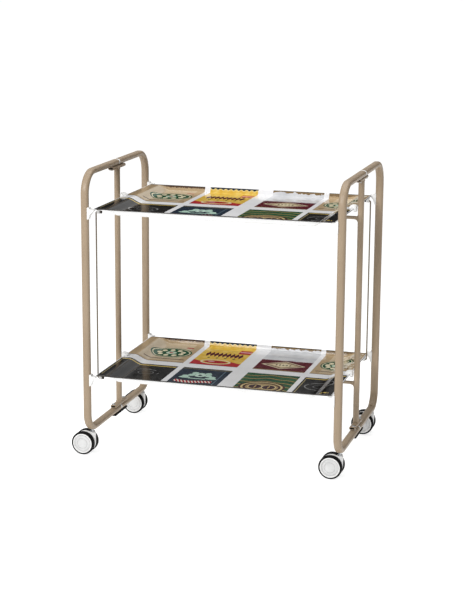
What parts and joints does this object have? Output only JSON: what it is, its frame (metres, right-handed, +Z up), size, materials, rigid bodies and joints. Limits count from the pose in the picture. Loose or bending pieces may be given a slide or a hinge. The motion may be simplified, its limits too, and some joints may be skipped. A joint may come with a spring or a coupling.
{
  "type": "folding bar cart on wheels",
  "caption": "Folding two-tray serving cart: bent tube half frames on twin-wheel casters, centre masts, tilting printed trays joined by link rods.",
  "frame": {"origin": "centre of the bounding box on the floor plane", "axes": "+Z up, +X to the cart's right along the long side of the trays, -Y towards the front; the casters trail towards -X"},
  "size_m": [0.689, 0.4524, 0.7147],
  "materials": {
    "frame_paint": "satin taupe powder coat",
    "steel": "zinc plated",
    "white_plastic": "satin",
    "black_plastic": "satin",
    "grey_plastic": "satin",
    "tyre_rubber": "matt",
    "tray_laminate": "gloss printed sheet"
  },
  "bodies": {
    "centre_frame": {"left_centre_post": "frame_paint", "left_hinge_bars": "frame_paint", "left_hinge_pins": "steel", "left_bar_plugs": "black_plastic", "left_bottom_strap": "black_plastic", "right_centre_post": "frame_paint", "right_hinge_bars": "frame_paint", "right_hinge_pins": "steel", "right_bar_plugs": "black_plastic", "right_bottom_strap": "black_plastic", "upper_cross_tube": "frame_paint", "lower_cross_tube": "frame_paint"},
    "left_front_half_frame": {"left_front_leg": "frame_paint", "left_front_end_plugs": "white_plastic", "left_front_tray_brackets": "white_plastic", "left_front_caster_stem": "steel"},
    "left_front_caster": {"left_front_caster_hood": "white_plastic"},
    "left_front_wheelset": {"left_front_caster_axle": "steel", "left_front_caster_wheels": "white_plastic", "left_front_caster_tyres": "tyre_rubber", "left_front_caster_discs": "grey_plastic"},
    "left_rear_half_frame": {"left_rear_leg": "frame_paint", "left_rear_end_plugs": "white_plastic", "left_rear_tray_brackets": "white_plastic", "left_rear_caster_stem": "steel"},
    "left_rear_caster": {"left_rear_caster_hood": "white_plastic"},
    "left_rear_wheelset": {"left_rear_caster_axle": "steel", "left_rear_caster_wheels": "white_plastic", "left_rear_caster_tyres": "tyre_rubber", "left_rear_caster_discs": "grey_plastic"},
    "right_front_half_frame": {"right_front_leg": "frame_paint", "right_front_end_plugs": "white_plastic", "right_front_tray_brackets": "white_plastic", "right_front_caster_stem": "steel"},
    "right_front_caster": {"right_front_caster_hood": "white_plastic"},
    "right_front_wheelset": {"right_front_caster_axle": "steel", "right_front_caster_wheels": "white_plastic", "right_front_caster_tyres": "tyre_rubber", "right_front_caster_discs": "grey_plastic"},
    "right_rear_half_frame": {"right_rear_leg": "frame_paint", "right_rear_end_plugs": "white_plastic", "right_rear_tray_brackets": "white_plastic", "right_rear_caster_stem": "steel"},
    "right_rear_caster": {"right_rear_caster_hood": "white_plastic"},
    "right_rear_wheelset": {"right_rear_caster_axle": "steel", "right_rear_caster_wheels": "white_plastic", "right_rear_caster_tyres": "tyre_rubber", "right_rear_caster_discs": "grey_plastic"},
    "upper_tray_body": {"upper_tray": "tray_laminate", "upper_tray_pivots": "white_plastic", "upper_rod_lugs": "white_plastic"},
    "lower_tray_body": {"lower_tray": "tray_laminate", "lower_tray_pivots": "white_plastic", "lower_rod_lugs": "white_plastic"},
    "front_link": {"front_link_rod": "frame_paint", "front_link_caps": "black_plastic"},
    "rear_link": {"rear_link_rod": "frame_paint", "rear_link_caps": "black_plastic"}
  },
  "joints": [
    {"name": "upper_tray_tilt", "type": "hinge", "parent": "centre_frame", "child": "upper_tray_body", "pos_m": [0.0195, 0, 0.599], "axis": [-1, 0, 0], "range_deg": [0, 60]},
    {"name": "lower_tray_tilt", "type": "hinge", "parent": "centre_frame", "child": "lower_tray_body", "pos_m": [0.0195, 0, 0.185], "axis": [-1, 0, 0], "range_deg": [0, 60]},
    {"name": "front_link_pivot", "type": "hinge", "parent": "upper_tray_body", "child": "front_link", "pos_m": [-0.2725, -0.186, 0.611], "axis": [-1, 0, 0], "range_deg": [-60, 0]},
    {"name": "rear_link_pivot", "type": "hinge", "parent": "upper_tray_body", "child": "rear_link", "pos_m": [0.3115, 0.186, 0.611], "axis": [-1, 0, 0], "range_deg": [-60, 0]},
    {"name": "left_front_fold", "type": "hinge", "parent": "centre_frame", "child": "left_front_half_frame", "pos_m": [-0.2955, -0.036, 0.39], "axis": [0, 0, 1], "range_deg": [0, 2]},
    {"name": "left_front_swivel", "type": "hinge", "parent": "left_front_half_frame", "child": "left_front_caster", "pos_m": [-0.2955, -0.186, 0.05], "axis": [0, 0, 1], "continuous": true},
    {"name": "left_front_roll", "type": "hinge", "parent": "left_front_caster", "child": "left_front_wheelset", "pos_m": [-0.3155, -0.186, 0.029], "axis": [0, 1, 0], "continuous": true},
    {"name": "left_rear_fold", "type": "hinge", "parent": "centre_frame", "child": "left_rear_half_frame", "pos_m": [-0.2955, 0.036, 0.39], "axis": [0, 0, -1], "range_deg": [0, 2]},
    {"name": "left_rear_swivel", "type": "hinge", "parent": "left_rear_half_frame", "child": "left_rear_caster", "pos_m": [-0.2955, 0.186, 0.05], "axis": [0, 0, 1], "continuous": true},
    {"name": "left_rear_roll", "type": "hinge", "parent": "left_rear_caster", "child": "left_rear_wheelset", "pos_m": [-0.3155, 0.186, 0.029], "axis": [0, 1, 0], "continuous": true},
    {"name": "right_front_fold", "type": "hinge", "parent": "centre_frame", "child": "right_front_half_frame", "pos_m": [0.3345, -0.036, 0.39], "axis": [0, 0, -1], "range_deg": [0, 2]},
    {"name": "right_front_swivel", "type": "hinge", "parent": "right_front_half_frame", "child": "right_front_caster", "pos_m": [0.3345, -0.186, 0.05], "axis": [0, 0, 1], "continuous": true},
    {"name": "right_front_roll", "type": "hinge", "parent": "right_front_caster", "child": "right_front_wheelset", "pos_m": [0.3145, -0.186, 0.029], "axis": [0, 1, 0], "continuous": true},
    {"name": "right_rear_fold", "type": "hinge", "parent": "centre_frame", "child": "right_rear_half_frame", "pos_m": [0.3345, 0.036, 0.39], "axis": [0, 0, 1], "range_deg": [0, 2]},
    {"name": "right_rear_swivel", "type": "hinge", "parent": "right_rear_half_frame", "child": "right_rear_caster", "pos_m": [0.3345, 0.186, 0.05], "axis": [0, 0, 1], "continuous": true},
    {"name": "right_rear_roll", "type": "hinge", "parent": "right_rear_caster", "child": "right_rear_wheelset", "pos_m": [0.3145, 0.186, 0.029], "axis": [0, 1, 0], "continuous": true}
  ],
  "couplings": [
    {"joint": "lower_tray_tilt", "follows": "upper_tray_tilt", "ratio": 1},
    {"joint": "front_link_pivot", "follows": "upper_tray_tilt", "ratio": -1},
    {"joint": "rear_link_pivot", "follows": "upper_tray_tilt", "ratio": -1}
  ]
}
